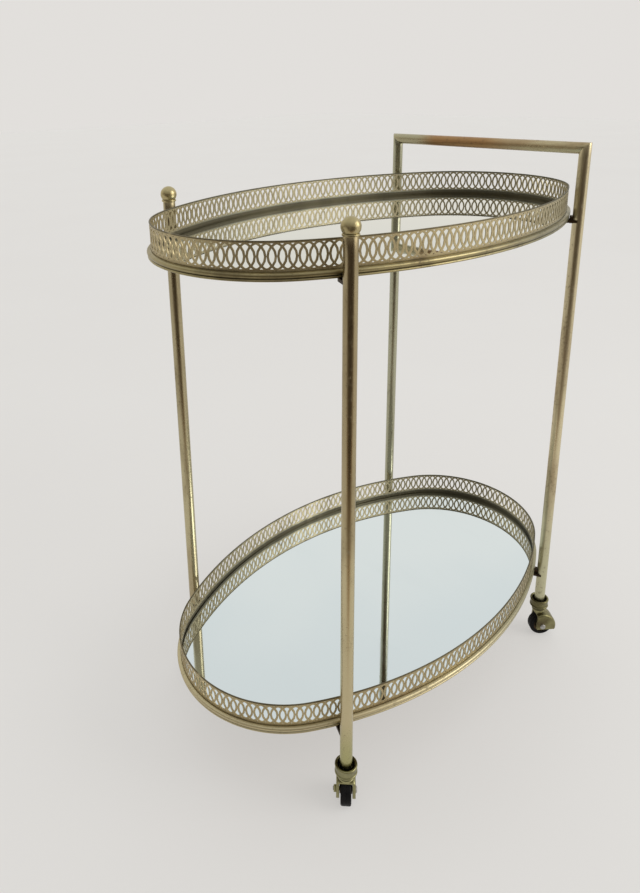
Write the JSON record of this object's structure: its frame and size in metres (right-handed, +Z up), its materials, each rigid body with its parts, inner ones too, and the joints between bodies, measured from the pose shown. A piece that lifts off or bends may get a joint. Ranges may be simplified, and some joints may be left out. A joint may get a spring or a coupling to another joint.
{
  "type": "bar cart",
  "caption": "Oval drinks trolley in aged brass: mirror shelves inside pierced ring galleries, round posts with ball finials, a raised handle bar and hooded swivel casters.",
  "frame": {"origin": "on the floor, under the middle of the oval trays", "axes": "+Z up, +X towards the handle end, +Y across to the far long side"},
  "size_m": [0.6842, 0.4084, 0.808],
  "materials": {
    "brass": "aged, patinated brass with brown areas, worn bright on edges",
    "gallery_brass": "aged brass, duller than the tubes, dark in the piercings' corners",
    "dark_brass": "dark, unpolished brass",
    "mirror": "silvered glass, clear, slightly grey-green",
    "board": "dark hardboard",
    "steel": "plain steel, dulled",
    "tyre": "black rubber, dusty at the tread"
  },
  "bodies": {
    "trolley_frame": {"finial_post_near": "brass", "finial_post_far": "brass", "handle_post_near": "brass", "handle_post_far": "brass", "handle_bar": "brass", "ball_finial_near": "brass", "ball_finial_far": "brass", "lower_rail": "brass", "upper_rail": "brass", "lower_gallery_near": "gallery_brass", "lower_gallery_far": "gallery_brass", "upper_gallery_near": "gallery_brass", "upper_gallery_far": "gallery_brass", "lower_mirror": "mirror", "upper_mirror": "mirror", "lower_backing": "board", "upper_backing": "board", "post_lugs": "dark_brass", "lug_screws": "steel", "caster_sockets": "steel"},
    "swivel_1": {"cup_1": "brass", "stem_1": "steel", "grip_ring_1": "steel", "hood_1": "brass", "axle_1": "steel", "axle_nut_1": "brass"},
    "wheel_1": {"hub_1": "dark_brass", "tyre_1": "tyre"},
    "swivel_2": {"cup_2": "brass", "stem_2": "steel", "grip_ring_2": "steel", "hood_2": "brass", "axle_2": "steel", "axle_nut_2": "brass"},
    "wheel_2": {"hub_2": "dark_brass", "tyre_2": "tyre"},
    "swivel_3": {"cup_3": "brass", "stem_3": "steel", "grip_ring_3": "steel", "hood_3": "brass", "axle_3": "steel", "axle_nut_3": "brass"},
    "wheel_3": {"hub_3": "dark_brass", "tyre_3": "tyre"},
    "swivel_4": {"cup_4": "brass", "stem_4": "steel", "grip_ring_4": "steel", "hood_4": "brass", "axle_4": "steel", "axle_nut_4": "brass"},
    "wheel_4": {"hub_4": "dark_brass", "tyre_4": "tyre"}
  },
  "joints": [
    {"name": "caster_swivel_1", "type": "hinge", "parent": "trolley_frame", "child": "swivel_1", "pos_m": [-0.23105, -0.16453, 0.07], "axis": [0, 0, 1], "continuous": true},
    {"name": "wheel_spin_1", "type": "hinge", "parent": "swivel_1", "child": "wheel_1", "pos_m": [-0.22745, -0.16105, 0.019], "axis": [-0.6947, 0.7193, 0], "continuous": true},
    {"name": "caster_swivel_2", "type": "hinge", "parent": "trolley_frame", "child": "swivel_2", "pos_m": [-0.23105, 0.16453, 0.07], "axis": [0, 0, 1], "continuous": true},
    {"name": "wheel_spin_2", "type": "hinge", "parent": "swivel_2", "child": "wheel_2", "pos_m": [-0.23558, 0.16664, 0.019], "axis": [-0.4226, -0.9063, 0], "continuous": true},
    {"name": "caster_swivel_3", "type": "hinge", "parent": "trolley_frame", "child": "swivel_3", "pos_m": [0.23105, -0.16453, 0.07], "axis": [0, 0, 1], "continuous": true},
    {"name": "wheel_spin_3", "type": "hinge", "parent": "swivel_3", "child": "wheel_3", "pos_m": [0.23499, -0.16761, 0.019], "axis": [0.6157, 0.788, 0], "continuous": true},
    {"name": "caster_swivel_4", "type": "hinge", "parent": "trolley_frame", "child": "swivel_4", "pos_m": [0.23105, 0.16453, 0.07], "axis": [0, 0, 1], "continuous": true},
    {"name": "wheel_spin_4", "type": "hinge", "parent": "swivel_4", "child": "wheel_4", "pos_m": [0.23192, 0.16945, 0.019], "axis": [-0.9848, 0.1736, 0], "continuous": true}
  ]
}
